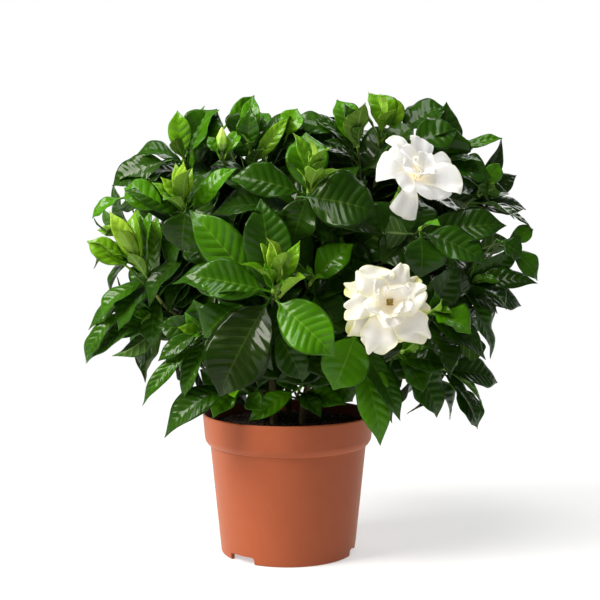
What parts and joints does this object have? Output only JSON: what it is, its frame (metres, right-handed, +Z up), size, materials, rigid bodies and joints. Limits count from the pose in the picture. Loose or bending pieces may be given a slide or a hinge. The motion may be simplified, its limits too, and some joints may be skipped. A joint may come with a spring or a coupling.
{
  "type": "potted gardenia",
  "caption": "Flowering evergreen shrub in a round tapered nursery pot: a dense dome of glossy leaves with open double white blooms and a bud.",
  "frame": {"origin": "centre of the pot's foot pad, on the surface the pot stands on", "axes": "+Z up, -Y the front of the plant, +X to the right of the front"},
  "size_m": [0.3084, 0.2445, 0.3199],
  "materials": {
    "pot_plastic": "moulded, terracotta coloured, lightly textured",
    "soil": "peat potting mix, crumbly and dull",
    "bark": "smooth olive to brown bark",
    "leaf": "glossy dark evergreen leaf with light veins",
    "young_leaf": "glossy yellow-green young leaf",
    "petal": "soft waxy white petal",
    "flower_heart": "golden stigma and anthers",
    "bud": "pale green twisted bud"
  },
  "bodies": {
    "root": {"pot": "pot_plastic", "soil": "soil", "stem_1": "bark", "stem_2": "bark", "stem_3": "bark", "stem_4": "bark", "stem_5": "bark", "bloom_front": "petal", "bloom_front_heart": "flower_heart", "bloom_front_calyx": "young_leaf", "bloom_top": "petal", "bloom_top_heart": "flower_heart", "bloom_top_calyx": "young_leaf", "flower_bud": "bud", "shoot_front_rosette": "leaf", "young_front_rosette": "young_leaf", "shoot_front_centre": "leaf", "shoot_front_low_right": "leaf", "shoot_low_right": "leaf", "shoot_far_low_right": "leaf", "shoot_right_of_bloom": "leaf", "shoot_right": "leaf", "shoot_above_front_bloom": "leaf", "shoot_upper_right": "leaf", "shoot_top_right": "leaf", "young_top": "young_leaf", "shoot_top_middle": "leaf", "young_upper_middle": "young_leaf", "shoot_upper_middle": "leaf", "shoot_top_left_middle": "leaf", "young_upper_left": "young_leaf", "shoot_upper_left": "leaf", "shoot_top_left": "leaf", "young_left": "young_leaf", "shoot_left": "leaf", "shoot_far_left": "leaf", "shoot_low_left": "leaf", "shoot_low_left_fingers": "leaf", "shoot_rim_left": "leaf", "shoot_rim_middle": "leaf", "shoot_skirt_1": "leaf", "shoot_skirt_2": "leaf", "shoot_skirt_3": "leaf", "shoot_skirt_4": "leaf", "shoot_skirt_5": "leaf", "shoot_skirt_6": "leaf", "shoot_waist_1": "leaf", "shoot_waist_2": "leaf", "shoot_waist_3": "leaf", "shoot_waist_4": "leaf", "shoot_waist_5": "leaf", "shoot_shoulder_1": "leaf", "shoot_shoulder_2": "leaf", "shoot_shoulder_3": "leaf", "shoot_shoulder_4": "leaf", "shoot_crown_1": "leaf", "shoot_crown_2": "leaf", "shoot_inner_1": "leaf", "shoot_inner_2": "leaf"}
  },
  "joints": []
}
